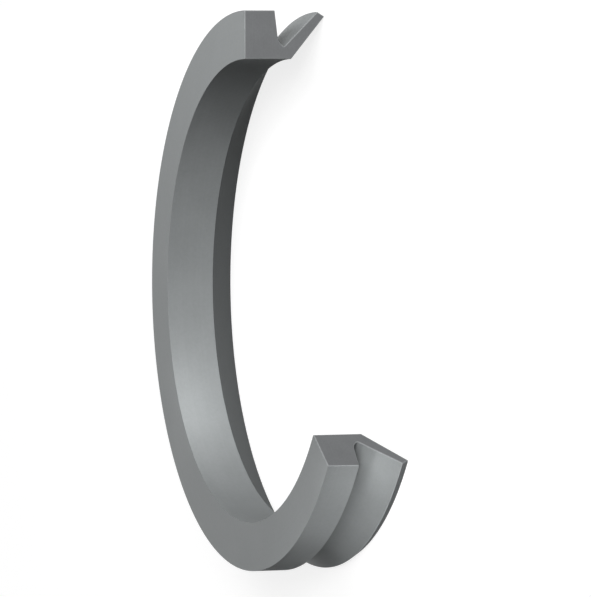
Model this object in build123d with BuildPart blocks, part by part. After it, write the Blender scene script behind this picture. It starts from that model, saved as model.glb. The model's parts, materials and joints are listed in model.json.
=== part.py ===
from build123d import *
from math import cos, radians, sin, tan
import os

# V ring seal, moulded in one piece of rubber, with a sector cut away to show its section.
# Z is the shaft's axis. The back face lies at z = 0, and the lip points down to -Z.
# The cut-away sector is centred on -Y. Lengths are in millimetres and angles in degrees.

# Driving sizes of the ring
bore_diameter = 49.0  # before it is stretched over its shaft
section_height = 5.14  # from the bore out to the rim
rim_width = 3.42  # the body along its rim
heel_width = 5.27  # the body along its bore, to the heel where the lip begins
free_width = 9.02  # from the back face to the edge of the lip, before it is pressed in
front_slant = 6.9  # how far the body's front face leans from square to the axis

# The groove behind the lip
groove_floor_thickness = 1.30  # the rubber left between the groove and the bore, where the lip hinges
groove_lead = 1.04  # how far the groove's bottom lies in front of the rim's front edge
groove_curve_height = 1.12  # the part of the groove's wall that curves in under the lip
groove_bottom_radius = 0.20

# The lip
lip_setback = 0.62  # the lip's outer edge stays this far inside the rim
lip_edge_thickness = 0.93  # along the lip's end face
lip_end_slant = 32.3  # how far the lip's end face leans from the axis

# The cut
cut_away_angle = 125.4  # the sector that is missing, from cut face to cut face
cut_edge_radius = 0.10  # the edges round both cut faces are dulled

# Radii and angles that follow from them
bore_radius = bore_diameter / 2
rim_radius = bore_radius + section_height
groove_radius = bore_radius + groove_floor_thickness
groove_curve_radius = groove_radius + groove_curve_height
lip_radius = rim_radius - lip_setback
kept_angle = 360 - cut_away_angle
first_cut_azimuth = -90 + cut_away_angle / 2

# Corners of the section, as radius from the axis and height from the back face
bore_back = (bore_radius, 0)
rim_back = (rim_radius, 0)
rim_front = (rim_radius, -rim_width)
groove_wall_end = (
    groove_curve_radius,
    -rim_width - (rim_radius - groove_curve_radius) * tan(radians(front_slant)),
)
groove_bottom = (groove_radius, -rim_width - groove_lead)
lip_edge_outer = (lip_radius, -free_width)
lip_edge_inner = (
    lip_radius + lip_edge_thickness * sin(radians(lip_end_slant)),
    -free_width + lip_edge_thickness * cos(radians(lip_end_slant)),
)
heel = (bore_radius, -heel_width)

# The ring: its section turned about the shaft's axis, from one cut face to the other
with BuildPart() as v_ring:
    with BuildSketch(Plane.XZ.rotated((0, 0, first_cut_azimuth))) as section:
        with BuildLine():
            Polyline(heel, bore_back, rim_back, rim_front)
            groove_wall = Line(rim_front, groove_wall_end)
            TangentArc(groove_wall_end, groove_bottom, tangent=groove_wall % 1)
            Polyline(groove_bottom, lip_edge_inner, lip_edge_outer, heel)
        make_face()
        fillet(section.vertices().sort_by_distance(groove_bottom)[0], groove_bottom_radius)
    revolve(axis=Axis.Z, revolution_arc=kept_angle)
    cut_faces = v_ring.faces().filter_by(GeomType.PLANE).filter_by(Axis.Z, reverse=True)
    fillet(cut_faces.edges(), cut_edge_radius)
v_ring.part.label = "v_ring"

os.makedirs("parts", exist_ok=True)
export_step(v_ring.part, "parts/v_ring.step")
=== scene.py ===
"""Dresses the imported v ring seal: its finishes, its floor, the studio light and the camera."""
import json
import logging
from dataclasses import dataclass
from enum import Enum
from math import cos, pi, radians, sin, tan

import bmesh
import bpy
from bmesh.types import BMesh, BMFace, BMVert
from bpy.types import Material, Node, NodeSocket, NodeTree, Object
from mathutils import Matrix, Quaternion, Vector


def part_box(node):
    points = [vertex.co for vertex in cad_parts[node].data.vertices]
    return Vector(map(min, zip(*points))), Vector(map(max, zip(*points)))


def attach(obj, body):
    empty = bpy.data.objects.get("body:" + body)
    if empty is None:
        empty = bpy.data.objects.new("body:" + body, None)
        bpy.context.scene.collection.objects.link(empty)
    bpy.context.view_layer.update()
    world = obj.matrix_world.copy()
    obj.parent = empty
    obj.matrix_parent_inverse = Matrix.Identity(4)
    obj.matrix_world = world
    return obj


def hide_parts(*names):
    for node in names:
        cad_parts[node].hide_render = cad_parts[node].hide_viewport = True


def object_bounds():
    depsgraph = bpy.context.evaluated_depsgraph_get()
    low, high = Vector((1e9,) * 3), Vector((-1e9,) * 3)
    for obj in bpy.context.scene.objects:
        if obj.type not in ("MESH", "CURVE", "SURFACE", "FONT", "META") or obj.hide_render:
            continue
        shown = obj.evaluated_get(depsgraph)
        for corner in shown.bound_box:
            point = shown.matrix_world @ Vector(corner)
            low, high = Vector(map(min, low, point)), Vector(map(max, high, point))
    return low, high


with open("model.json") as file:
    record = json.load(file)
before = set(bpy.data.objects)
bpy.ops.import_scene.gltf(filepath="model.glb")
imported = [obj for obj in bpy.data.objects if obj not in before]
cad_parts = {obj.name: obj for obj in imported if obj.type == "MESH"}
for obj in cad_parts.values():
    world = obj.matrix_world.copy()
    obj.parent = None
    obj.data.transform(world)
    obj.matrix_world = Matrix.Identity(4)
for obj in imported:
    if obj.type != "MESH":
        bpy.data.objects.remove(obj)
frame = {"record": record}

LOG = logging.getLogger("v_ring_scene")
MM = 0.001
WHITE = (1.0, 1.0, 1.0, 1.0)
OPAQUE = 1.0
NOISE_ROUGHNESS = 0.6
# A lamp's azimuth counts from -Y, and a place's turn on the ring from +X.
QUARTER_TURN = 90.0


class Surface(Enum):
    """The surfaces of the sectioned ring, each with the material slot that its faces use."""

    MOULDED = 0
    CUT = 1
    CUT_EDGE = 2


class Ray(Enum):
    """The rays that see the white ground and sky in place of their own shade."""

    CAMERA = "Is Camera Ray"
    GLOSSY = "Is Glossy Ray"
    TRANSMISSION = "Is Transmission Ray"


class Operation(Enum):
    """What the node boards work out."""

    MULTIPLY = "MULTIPLY"
    MULTIPLY_ADD = "MULTIPLY_ADD"
    MAXIMUM = "MAXIMUM"


class ColourMix(Enum):
    """The numbers of a colour mix's sockets, whose names its other kinds of mix share."""

    FACTOR = 0
    UNDER = 6
    OVER = 7
    RESULT = 2


class NodeBoard:
    """A shader node tree with short calls to add nodes and join their sockets."""

    def __init__(self, tree: NodeTree) -> None:
        """Empties the tree.

        Args:
            tree: the node tree of a material or a world.
        """
        self.tree = tree
        self.tree.nodes.clear()

    def add(self, kind: str, **settings: object) -> Node:
        """Adds a node.

        Args:
            kind: Blender's name of the node's class.
            settings: properties to set on it.

        Returns:
            The new node.
        """
        node = self.tree.nodes.new(kind)
        for name, value in settings.items():
            setattr(node, name, value)
        return node

    def join(self, source: Node, output: str, target: Node, socket: str) -> None:
        """Joins an output to an input.

        Args:
            source: the node that gives the value.
            output: the name of its output.
            target: the node that takes the value.
            socket: the name of its input.
        """
        self.link(source.outputs[output], target.inputs[socket])

    def link(self, source: NodeSocket, target: NodeSocket) -> None:
        """Joins two sockets."""
        self.tree.links.new(source, target)

    def work_out(self, operation: Operation, *terms: NodeSocket | float) -> NodeSocket:
        """Adds a Math node.

        Args:
            operation: what it works out.
            terms: the sockets and plain numbers that it takes, in order.

        Returns:
            The socket of its result.
        """
        node = self.add("ShaderNodeMath", operation=operation.value)
        for socket, term in zip(node.inputs, terms):
            if isinstance(term, NodeSocket):
                self.link(term, socket)
            else:
                socket.default_value = term
        return node.outputs["Value"]


@dataclass(frozen=True)
class ToolMarks:
    """Fine lines that a tool left in the rubber.

    Their spacing out from the shaft's axis and along it, and their height, are in metres.
    """

    outward: float
    along: float
    height: float

    @property
    def sizes(self) -> tuple[float, float, float]:
        """Returns their spacing along the flat section's X, Y and Z, of which Y changes nothing."""
        return self.outward, self.outward, self.along


@dataclass(frozen=True)
class LipEdgeHighlight:
    """A thin pale line painted along the lip's inner edge as a highlight, as a place in the
    section.
    """

    radius: float
    depth: float
    width: float
    colour: tuple[float, float, float]


@dataclass(frozen=True)
class RubberFinish:
    """Matt grey rubber: a fine grain, a faint cloudy bloom and the marks of a tool.

    The three patterns are added up by their shares. Where the sum is quiet the rubber is darker
    and smoother, and where it's loud it's lighter and rougher. Sizes and heights are in metres.
    """

    name: str
    colour: tuple[float, float, float]
    shade_swing: float
    specular: float
    roughness: float
    roughness_swing: float
    grain_size: float
    grain_height: float
    cloud_size: float
    marks: ToolMarks
    grain_detail: float = 3.0
    cloud_detail: float = 2.0
    marks_detail: float = 1.0
    grain_share: float = 0.35
    cloud_share: float = 0.50
    marks_share: float = 0.15
    quiet: float = 0.36
    loud: float = 0.64

    def material(self, lip_highlight: LipEdgeHighlight | None = None) -> Material:
        """Builds the finish as a node material.

        Args:
            lip_highlight: the painted highlight line along the lip's inner edge, for the finish
                that carries it.

        Returns:
            The material.
        """
        material = bpy.data.materials.new(self.name)
        material.use_nodes = True
        board = NodeBoard(material.node_tree)
        output = board.add("ShaderNodeOutputMaterial")
        shader = board.add("ShaderNodeBsdfPrincipled")
        shader.inputs["Specular IOR Level"].default_value = self.specular
        board.join(shader, "BSDF", output, "Surface")
        place = board.add("ShaderNodeTexCoord").outputs["Object"]
        section = self._section_place(board, place)
        grain = self._noise(board, place, (self.grain_size,) * 3, self.grain_detail)
        cloud = self._noise(board, place, (self.cloud_size,) * 3, self.cloud_detail)
        marks = self._noise(board, section, self.marks.sizes, self.marks_detail)
        shares = ((grain, self.grain_share), (cloud, self.cloud_share), (marks, self.marks_share))
        shade = self._add_up(board, shares)
        colour = self._shaded_colour(board, shade)
        # A pale line painted along the lip's inner edge as a highlight.
        if lip_highlight is not None:
            colour = self._painted_highlight_colour(board, colour, section, lip_highlight)
        board.link(colour, shader.inputs["Base Color"])
        self._gloss(board, shader, shade)
        fine = self._bump(board, grain, self.grain_height, None)
        both = self._bump(board, marks, self.marks.height, fine)
        board.link(both, shader.inputs["Normal"])
        return material

    @staticmethod
    def _section_place(board: NodeBoard, place: NodeSocket) -> NodeSocket:
        """Turns a place on the ring into its place in the section.

        Args:
            board: the material's nodes.
            place: the Object coordinates.

        Returns:
            The socket with the distance from the axis in X and the height in Z.
        """
        parts = board.add("ShaderNodeSeparateXYZ")
        board.link(place, parts.inputs["Vector"])
        level = board.add("ShaderNodeCombineXYZ")
        board.join(parts, "X", level, "X")
        board.join(parts, "Y", level, "Y")
        distance = board.add("ShaderNodeVectorMath", operation="LENGTH")
        board.join(level, "Vector", distance, "Vector")
        section = board.add("ShaderNodeCombineXYZ")
        board.join(distance, "Value", section, "X")
        board.join(parts, "Z", section, "Z")
        return section.outputs["Vector"]

    @staticmethod
    def _noise(
        board: NodeBoard, place: NodeSocket, sizes: tuple[float, float, float], detail: float
    ) -> NodeSocket:
        """Adds noise.

        Args:
            board: the material's nodes.
            place: the coordinates it reads.
            sizes: the size of its features along each axis, in metres.
            detail: how many finer octaves it has.

        Returns:
            The noise's socket.
        """
        scale = board.add("ShaderNodeMapping")
        scale.inputs["Scale"].default_value = [1.0 / size for size in sizes]
        board.link(place, scale.inputs["Vector"])
        noise = board.add("ShaderNodeTexNoise")
        noise.inputs["Scale"].default_value = 1.0
        noise.inputs["Detail"].default_value = detail
        noise.inputs["Roughness"].default_value = NOISE_ROUGHNESS
        board.join(scale, "Vector", noise, "Vector")
        return noise.outputs["Fac"]

    @staticmethod
    def _add_up(board: NodeBoard, parts: tuple[tuple[NodeSocket, float], ...]) -> NodeSocket:
        """Adds up patterns by their shares.

        Args:
            board: the material's nodes.
            parts: each pattern's socket and its share.

        Returns:
            The socket of the sum.
        """
        total: NodeSocket | float = 0.0
        for pattern, share in parts:
            total = board.work_out(Operation.MULTIPLY_ADD, pattern, share, total)
        return total

    def _shaded_colour(self, board: NodeBoard, shade: NodeSocket) -> NodeSocket:
        """Varies the colour from a darker to a lighter shade of the rubber.

        Args:
            board: the material's nodes.
            shade: the pattern.

        Returns:
            The colour's socket.
        """
        ramp = board.add("ShaderNodeValToRGB")
        swings = ((self.quiet, -self.shade_swing), (self.loud, self.shade_swing))
        for stop, (position, swing) in zip(ramp.color_ramp.elements, swings):
            stop.position = position
            stop.color = (*(channel * (1.0 + swing) for channel in self.colour), OPAQUE)
        board.link(shade, ramp.inputs["Fac"])
        return ramp.outputs["Color"]

    @staticmethod
    def _painted_highlight_colour(
        board: NodeBoard, colour: NodeSocket, section: NodeSocket, lip_highlight: LipEdgeHighlight
    ) -> NodeSocket:
        """Paints the pale highlight line along the lip's inner edge over the colour.

        Args:
            board: the material's nodes.
            colour: the colour without the line.
            section: the place in the section.
            lip_highlight: the painted highlight line.

        Returns:
            The colour's socket.
        """
        away = board.add("ShaderNodeVectorMath", operation="DISTANCE")
        here, edge = away.inputs[:2]
        board.link(section, here)
        edge.default_value = (lip_highlight.radius, 0.0, -lip_highlight.depth)
        line = board.add("ShaderNodeMapRange")
        line.inputs["From Min"].default_value = lip_highlight.width / 2.0
        line.inputs["From Max"].default_value = lip_highlight.width
        line.inputs["To Min"].default_value = 1.0
        line.inputs["To Max"].default_value = 0.0
        board.join(away, "Value", line, "Value")
        blend = board.add("ShaderNodeMix", data_type="RGBA")
        blend.inputs[ColourMix.OVER.value].default_value = (*lip_highlight.colour, OPAQUE)
        board.link(line.outputs["Result"], blend.inputs[ColourMix.FACTOR.value])
        board.link(colour, blend.inputs[ColourMix.UNDER.value])
        return blend.outputs[ColourMix.RESULT.value]

    def _gloss(self, board: NodeBoard, shader: Node, shade: NodeSocket) -> None:
        """Varies the roughness with the shade.

        Args:
            board: the material's nodes.
            shader: the Principled node.
            shade: the pattern.
        """
        span = board.add("ShaderNodeMapRange")
        span.inputs["From Min"].default_value = self.quiet
        span.inputs["From Max"].default_value = self.loud
        span.inputs["To Min"].default_value = self.roughness - self.roughness_swing
        span.inputs["To Max"].default_value = self.roughness + self.roughness_swing
        board.link(shade, span.inputs["Value"])
        board.join(span, "Result", shader, "Roughness")

    @staticmethod
    def _bump(
        board: NodeBoard, pattern: NodeSocket, height: float, under: NodeSocket | None
    ) -> NodeSocket:
        """Raises a pattern.

        Args:
            board: the material's nodes.
            pattern: the pattern.
            height: how high it stands, in metres.
            under: the normal that it stands on, where there is one.

        Returns:
            The normal's socket.
        """
        bump = board.add("ShaderNodeBump")
        bump.inputs["Strength"].default_value = 1.0
        bump.inputs["Distance"].default_value = height
        board.link(pattern, bump.inputs["Height"])
        if under is not None:
            board.link(under, bump.inputs["Normal"])
        return bump.outputs["Normal"]


@dataclass
class RingSection:
    """The ring's section, in metres.

    Its radius from the shaft's axis lies along X, and its depth below the back face along -Z.
    """

    bore_radius: float
    rim_radius: float
    heel_width: float
    free_width: float
    rim_width: float = 3.42 * MM
    front_slant: float = radians(6.9)
    groove_floor_thickness: float = 1.30 * MM
    groove_lead: float = 1.04 * MM
    groove_curve_height: float = 1.12 * MM
    groove_curve_steps: int = 12
    groove_bottom_radius: float = 0.20 * MM
    groove_bottom_steps: int = 6
    lip_setback: float = 0.62 * MM
    lip_edge_thickness: float = 0.93 * MM
    lip_end_slant: float = radians(32.3)

    @property
    def edge_radius(self) -> float:
        """Returns the radius of the lip's outer edge."""
        return self.rim_radius - self.lip_setback

    @property
    def inner_edge(self) -> tuple[float, float]:
        """Returns the radius and depth of the edge between the lip's end face and the groove."""
        return (
            self.edge_radius + self.lip_edge_thickness * sin(self.lip_end_slant),
            self.free_width - self.lip_edge_thickness * cos(self.lip_end_slant),
        )

    def outline(self, mesh: BMesh) -> None:
        """Draws the closed outline of the section in the XZ plane.

        Args:
            mesh: the mesh to draw it in.
        """
        groove_radius = self.bore_radius + self.groove_floor_thickness
        curve_radius = groove_radius + self.groove_curve_height
        wall_depth = self.rim_width + (self.rim_radius - curve_radius) * tan(self.front_slant)
        body = [
            self._corner(mesh, self.bore_radius, self.heel_width),
            self._corner(mesh, self.bore_radius, 0.0),
            self._corner(mesh, self.rim_radius, 0.0),
            self._corner(mesh, self.rim_radius, self.rim_width),
            self._corner(mesh, curve_radius, wall_depth),
        ]
        groove_bottom = self._curve_in(mesh, body, groove_radius, self.rim_width + self.groove_lead)
        lip = [
            groove_bottom,
            self._corner(mesh, *self.inner_edge),
            self._corner(mesh, self.edge_radius, self.free_width),
            body[0],
        ]
        for line in (body, lip):
            for start, end in zip(line, line[1:]):
                mesh.edges.new((start, end))
        self._round_groove_bottom(mesh, groove_bottom)

    @staticmethod
    def _corner(mesh: BMesh, radius: float, depth: float) -> BMVert:
        """Returns a new corner of the section, at a radius and a depth below the back face."""
        return mesh.verts.new((radius, 0.0, -depth))

    def _curve_in(self, mesh: BMesh, body: list[BMVert], radius: float, depth: float) -> BMVert:
        """Turns the end of the groove's wall on an arc that leaves the wall without a corner.

        Args:
            mesh: the mesh.
            body: the corners so far, which end with the straight stretch of the groove's wall.
            radius: the radius of the groove's bottom from the axis.
            depth: the depth of the groove's bottom below the back face.

        Returns:
            The vertex at the groove's bottom.
        """
        start = body[-1].co.copy()
        along = (start - body[-2].co).normalized()
        across = Vector((-along.z, 0.0, along.x))
        chord = Vector((radius, 0.0, -depth)) - start
        centre = start + across * (chord.length_squared / (2.0 * chord.dot(across)))
        arm, end_arm = start - centre, start + chord - centre
        spun = bmesh.ops.spin(
            mesh,
            geom=[body[-1]],
            cent=centre,
            axis=arm.cross(end_arm).normalized(),
            angle=arm.angle(end_arm),
            steps=self.groove_curve_steps,
        )
        return next(part for part in spun["geom_last"] if isinstance(part, BMVert))

    def _round_groove_bottom(self, mesh: BMesh, groove_bottom: BMVert) -> None:
        """Rounds the groove's bottom.

        Args:
            mesh: the mesh.
            groove_bottom: the corner to round.
        """
        wall, lip = (
            (edge.other_vert(groove_bottom).co - groove_bottom.co).normalized()
            for edge in groove_bottom.link_edges
        )
        half_angle = wall.angle(lip) / 2.0
        bmesh.ops.bevel(
            mesh,
            geom=[groove_bottom],
            offset=self.groove_bottom_radius / tan(half_angle),
            offset_type="WIDTH",
            segments=self.groove_bottom_steps,
            profile=0.5,
            affect="VERTICES",
            material=-1,
        )


@dataclass
class VRing:
    """The one-piece rubber v ring with a sector cut away, lying on the edge of its lip."""

    section: RingSection
    cut_away_angle: float = radians(125.4)
    cut_edge_radius: float = 0.10 * MM
    cut_edge_steps: int = 4
    turn_steps: int = 200
    crisp_angle: float = radians(35.0)
    name: str = "v_ring_moulding"

    @classmethod
    def from_frame(cls, record: dict) -> "VRing":
        """Takes the ring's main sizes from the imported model.

        Args:
            record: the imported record.

        Returns:
            The ring.
        """
        low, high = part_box("v_ring")
        seat = next(mount["dims"] for mount in record["mounts"] if mount["name"] == "shaft_seat")
        section = RingSection(
            bore_radius=seat["r_mm"] * MM,
            rim_radius=high.x,
            heel_width=seat["length_mm"] * MM,
            free_width=high.z - low.z,
        )
        return cls(section)

    def build(self) -> Object:
        """Turns the section about the shaft's axis and finishes its cut faces.

        Returns:
            The ring, at the origin of the frame.
        """
        mesh = bmesh.new()
        self.section.outline(mesh)
        self._turn(mesh)
        cuts = self._close_cuts(mesh)
        self._dull_cut_edges(mesh, cuts)
        bmesh.ops.recalc_face_normals(mesh, faces=mesh.faces)
        self._keep_moulded_edges_crisp(mesh)
        data = bpy.data.meshes.new(self.name)
        mesh.to_mesh(data)
        mesh.free()
        ring = bpy.data.objects.new(self.name, data)
        bpy.context.scene.collection.objects.link(ring)
        flats = ring.modifiers.new("flats", "WEIGHTED_NORMAL")
        flats.keep_sharp = True
        return ring

    def _turn(self, mesh: BMesh) -> None:
        """Spins the outline from the first cut to the second.

        Args:
            mesh: the mesh, which holds the outline alone.
        """
        first_cut = Matrix.Rotation(-pi / 2.0 + self.cut_away_angle / 2.0, 3, "Z")
        bmesh.ops.rotate(mesh, verts=mesh.verts, cent=(0.0, 0.0, 0.0), matrix=first_cut)
        bmesh.ops.spin(
            mesh,
            geom=mesh.edges[:] + mesh.verts[:],
            cent=(0.0, 0.0, 0.0),
            axis=(0.0, 0.0, 1.0),
            angle=2.0 * pi - self.cut_away_angle,
            steps=self.turn_steps,
        )

    @staticmethod
    def _close_cuts(mesh: BMesh) -> list[BMFace]:
        """Closes the two ends of the turned wall.

        Args:
            mesh: the mesh.

        Returns:
            The two cut faces.
        """
        rims = [edge for edge in mesh.edges if edge.is_boundary]
        made = bmesh.ops.holes_fill(mesh, edges=rims, sides=0)
        for face in made["faces"]:
            face.material_index = Surface.CUT.value
        return made["faces"]

    def _dull_cut_edges(self, mesh: BMesh, cuts: list[BMFace]) -> None:
        """Rounds the edges round the cut faces.

        Args:
            mesh: the mesh.
            cuts: the two cut faces.
        """
        rounded = bmesh.ops.bevel(
            mesh,
            geom=[edge for face in cuts for edge in face.edges],
            offset=self.cut_edge_radius,
            offset_type="OFFSET",
            segments=self.cut_edge_steps,
            profile=0.5,
            affect="EDGES",
            clamp_overlap=False,
            material=-1,
        )
        for face in rounded["faces"]:
            face.material_index = Surface.CUT_EDGE.value

    def _keep_moulded_edges_crisp(self, mesh: BMesh) -> None:
        """Shades the curved walls smooth and the moulded edges sharp.

        Args:
            mesh: the finished mesh.
        """
        for face in mesh.faces:
            face.smooth = True
        for edge in mesh.edges:
            edge.smooth = edge.calc_face_angle() < self.crisp_angle


@dataclass(frozen=True)
class SoftBox:
    """A square studio lamp that faces a place on the ring."""

    name: str
    azimuth: float
    elevation: float
    distance: float
    size: float
    power: float
    aim: Vector = Vector((0.0, 0.0, 0.0))
    spread: float = 180.0

    def place(self) -> Object:
        """Adds the lamp.

        Returns:
            The lamp's object.
        """
        lamp = bpy.data.lights.new(self.name, "AREA")
        lamp.shape = "SQUARE"
        lamp.size = self.size
        lamp.energy = self.power
        lamp.spread = radians(self.spread)
        holder = bpy.data.objects.new(self.name, lamp)
        bpy.context.scene.collection.objects.link(holder)
        away = direction(self.azimuth, self.elevation)
        holder.location = self.aim + away * self.distance
        holder.rotation_mode = "QUATERNION"
        holder.rotation_quaternion = (-away).to_track_quat("-Z", "Y")
        holder.visible_camera = False
        return holder


@dataclass(frozen=True)
class Floor:
    """A plain pale floor under the lip, white to the camera wherever the ring doesn't shade it.

    The ring is lit by its bounce. The camera sees its shade, which takes the ring's shadow, with
    its lift added.
    """

    height: float
    half_width: float = 3.0
    bounce: float = 0.1
    shade: float = 0.3
    lift: float = 0.82

    def place(self) -> Object:
        """Adds the floor.

        Returns:
            The floor's object.
        """
        mesh = bmesh.new()
        bmesh.ops.create_grid(mesh, x_segments=1, y_segments=1, size=self.half_width)
        bmesh.ops.translate(mesh, verts=mesh.verts, vec=(0.0, 0.0, self.height))
        data = bpy.data.meshes.new("floor")
        mesh.to_mesh(data)
        mesh.free()
        data.materials.append(self._material())
        floor = bpy.data.objects.new("floor", data)
        bpy.context.scene.collection.objects.link(floor)
        return floor

    def _material(self) -> Material:
        """Builds a matt floor, grey in the light it gives to the ring and white where it's seen.

        Returns:
            The material.
        """
        material = bpy.data.materials.new("floor_paper")
        material.use_nodes = True
        board = NodeBoard(material.node_tree)
        output = board.add("ShaderNodeOutputMaterial")
        seen = backdrop_rays(board)
        grey = board.work_out(Operation.MULTIPLY_ADD, seen, self.shade - self.bounce, self.bounce)
        matt = board.add("ShaderNodeBsdfDiffuse")
        board.link(grey, matt.inputs["Color"])
        glow = board.add("ShaderNodeEmission")
        glow.inputs["Color"].default_value = WHITE
        board.link(board.work_out(Operation.MULTIPLY, seen, self.lift), glow.inputs["Strength"])
        both = board.add("ShaderNodeAddShader")
        first, second = both.inputs
        board.link(matt.outputs["BSDF"], first)
        board.link(glow.outputs["Emission"], second)
        board.join(both, "Shader", output, "Surface")
        return material


@dataclass(frozen=True)
class Sky:
    """The studio's even light from all round, white to the camera."""

    strength: float = 0.04
    seen_strength: float = 1.0

    def place(self) -> None:
        """Makes it the scene's world."""
        world = bpy.data.worlds.new("studio")
        world.use_nodes = True
        board = NodeBoard(world.node_tree)
        output = board.add("ShaderNodeOutputWorld")
        choice = board.add("ShaderNodeMixShader")
        factor, *sides = choice.inputs
        for side, strength in zip(sides, (self.strength, self.seen_strength)):
            light = board.add("ShaderNodeBackground")
            light.inputs["Strength"].default_value = strength
            light.inputs["Color"].default_value = WHITE
            board.link(light.outputs["Background"], side)
        board.link(backdrop_rays(board), factor)
        board.join(choice, "Shader", output, "Surface")
        bpy.context.scene.world = world


@dataclass(frozen=True)
class PortraitCamera:
    """The camera at the photograph's viewing angle, with the shaft's axis across the picture."""

    azimuth: float
    elevation: float
    roll: float
    distance: float
    aim: Vector
    lens: float
    sensor: float = 36.0
    nearest: float = 0.01
    farthest: float = 20.0

    def place(self) -> Object:
        """Adds the camera and makes it the scene's own.

        Returns:
            The camera's object.
        """
        data = bpy.data.cameras.new("portrait")
        data.lens = self.lens
        data.sensor_width = self.sensor
        data.clip_start = self.nearest
        data.clip_end = self.farthest
        camera = bpy.data.objects.new("portrait", data)
        bpy.context.scene.collection.objects.link(camera)
        back = direction(self.azimuth, self.elevation)
        camera.location = self.aim + back * self.distance
        camera.rotation_mode = "QUATERNION"
        upright = (-back).to_track_quat("-Z", "Y")
        camera.rotation_quaternion = Quaternion(back, -radians(self.roll)) @ upright
        bpy.context.scene.camera = camera
        return camera


def direction(azimuth: float, elevation: float) -> Vector:
    """Gives the direction from the ring to a place round it.

    Args:
        azimuth: degrees round the shaft's axis, from -Y towards +X.
        elevation: degrees above the floor.

    Returns:
        The unit vector.
    """
    turn, rise = radians(azimuth), radians(elevation)
    return Vector((sin(turn) * cos(rise), -cos(turn) * cos(rise), sin(rise)))


def lip_lamp(name: str, turn: float, elevation: float, spread: float, power: float) -> SoftBox:
    """Gives a small hooded lamp outside the ring that lights the rim and the lip's groove side.

    Args:
        name: its name.
        turn: where on the ring it points, in degrees round the shaft's axis from +X towards +Y.
        elevation: degrees above the floor.
        spread: how wide its hood lets it shine, in degrees.
        power: its power in watts.

    Returns:
        The lamp.
    """
    azimuth = turn + QUARTER_TURN
    return SoftBox(
        name,
        azimuth,
        elevation,
        distance=LIP_LAMP_DISTANCE,
        size=LIP_LAMP_SIZE,
        power=power,
        aim=direction(azimuth, 0.0) * LIP_SIDE_RADIUS - Vector((0.0, 0.0, LIP_SIDE_DEPTH)),
        spread=spread,
    )


def backdrop_rays(board: NodeBoard) -> NodeSocket:
    """Adds the test for rays that see the backdrop.

    Args:
        board: the nodes of a material or a world.

    Returns:
        The socket that is 1 for such a ray and 0 for others.
    """
    path = board.add("ShaderNodeLightPath")
    total = path.outputs[Ray.CAMERA.value]
    for ray in (Ray.GLOSSY, Ray.TRANSMISSION):
        total = board.work_out(Operation.MAXIMUM, total, path.outputs[ray.value])
    return total


TURNED_MOULD = ToolMarks(outward=0.30 * MM, along=0.30 * MM, height=0.0012 * MM)
KNIFE = ToolMarks(outward=5.0 * MM, along=0.16 * MM, height=0.004 * MM)
MOULDED_RUBBER = RubberFinish(
    name="moulded_rubber",
    colour=(0.205, 0.216, 0.218),
    shade_swing=0.06,
    specular=0.1,
    roughness=0.75,
    roughness_swing=0.05,
    grain_size=0.35 * MM,
    grain_height=0.004 * MM,
    cloud_size=6.0 * MM,
    marks=TURNED_MOULD,
)
CUT_RUBBER = RubberFinish(
    name="cut_rubber",
    colour=(0.160, 0.165, 0.169),
    shade_swing=0.08,
    specular=0.1,
    roughness=0.92,
    roughness_swing=0.05,
    grain_size=0.22 * MM,
    grain_height=0.006 * MM,
    cloud_size=4.0 * MM,
    marks=KNIFE,
)
# The rounded cut edges are the same rubber. Their colour is lighter than the cut faces', a painted
# highlight along the edges.
CUT_EDGE_HIGHLIGHT_RUBBER = RubberFinish(
    name="cut_edge_highlight_rubber",
    colour=(0.222, 0.232, 0.235),
    shade_swing=0.10,
    specular=0.25,
    roughness=0.60,
    roughness_swing=0.06,
    grain_size=0.30 * MM,
    grain_height=0.003 * MM,
    cloud_size=3.0 * MM,
    marks=KNIFE,
)
# The width and colour of a pale line painted along the lip's inner edge as a highlight.
LIP_HIGHLIGHT_WIDTH = 0.10 * MM
LIP_HIGHLIGHT_COLOUR = (0.26, 0.27, 0.275)
BORE_MIDDLE = Vector((-2.56, 24.37, -2.6)) * MM
UPPER_BACK = Vector((25.5, 0.0, 0.0)) * MM
LIP_SIDE_RADIUS = 27.8 * MM
LIP_SIDE_DEPTH = 6.2 * MM
LIP_LAMP_DISTANCE = 28.0 * MM
LIP_LAMP_SIZE = 6.0 * MM
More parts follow.
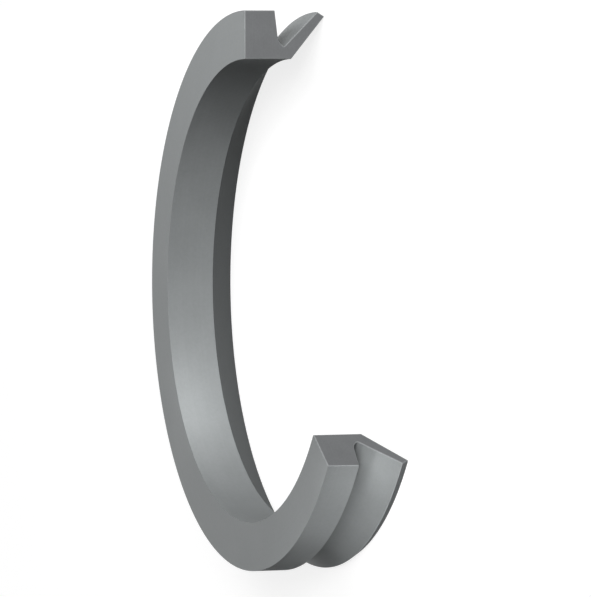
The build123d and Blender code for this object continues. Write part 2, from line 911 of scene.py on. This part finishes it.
SOFT_BOXES = (
    SoftBox("key", azimuth=0.0, elevation=36.0, distance=1.5, size=0.8, power=12.6),
    SoftBox("front", azimuth=-15.0, elevation=24.0, distance=1.5, size=0.4, power=10.4),
    SoftBox("front_low", azimuth=0.0, elevation=12.0, distance=1.5, size=0.3, power=4.8),
    SoftBox("rear_low", azimuth=160.0, elevation=5.0, distance=1.5, size=0.3, power=11.5),
    SoftBox("side_low", azimuth=125.0, elevation=5.0, distance=1.5, size=0.3, power=5.0),
    SoftBox(
        "upper",
        azimuth=38.0,
        elevation=57.6,
        distance=59.2 * MM,
        size=30.0 * MM,
        power=0.0198,
        aim=UPPER_BACK,
    ),
    SoftBox(
        "inside",
        azimuth=6.0,
        elevation=20.4,
        distance=7.47 * MM,
        size=6.0 * MM,
        power=0.00058,
        aim=BORE_MIDDLE,
    ),
    lip_lamp("lip_end_high", turn=205.0, elevation=50.0, spread=25.0, power=0.000084),
    lip_lamp("lip_end_low", turn=205.0, elevation=25.0, spread=25.0, power=0.000053),
    lip_lamp("lip_middle", turn=190.0, elevation=30.0, spread=45.0, power=0.000319),
    lip_lamp("lip_foot", turn=173.0, elevation=40.0, spread=25.0, power=0.000040),
    lip_lamp("lip_back", turn=150.0, elevation=10.0, spread=60.0, power=0.00015),
)
PORTRAIT = PortraitCamera(
    azimuth=-25.287,
    elevation=20.851,
    roll=90.83,
    distance=600.145 * MM,
    aim=Vector((-1.613, -1.324, -4.960)) * MM,
    lens=342.18,
)


def main() -> None:
    """Builds the ring, dresses it and sets the stage for its portrait."""
    logging.basicConfig(level=logging.INFO, format="%(name)s: %(message)s")
    cad_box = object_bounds()
    ring = VRing.from_frame(frame["record"])
    piece = ring.build()
    # The pale line along the lip's inner edge is a painted highlight.
    lip_highlight = LipEdgeHighlight(*ring.section.inner_edge, LIP_HIGHLIGHT_WIDTH, LIP_HIGHLIGHT_COLOUR)
    finishes = {
        Surface.MOULDED: MOULDED_RUBBER.material(lip_highlight),
        Surface.CUT: CUT_RUBBER.material(),
        # The rounded cut edges carry a painted highlight in their lighter colour.
        Surface.CUT_EDGE: CUT_EDGE_HIGHLIGHT_RUBBER.material(),
    }
    for surface in Surface:
        piece.data.materials.append(finishes[surface])
    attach(piece, "root")
    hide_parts("v_ring")
    LOG.info("%s: %d faces", piece.name, len(piece.data.polygons))
    Floor(height=cad_box[0].z).place()
    Sky().place()
    for box in SOFT_BOXES:
        box.place()
    PORTRAIT.place()
    bpy.context.scene.view_settings.view_transform = "Standard"


if __name__ == "__main__":
    main()
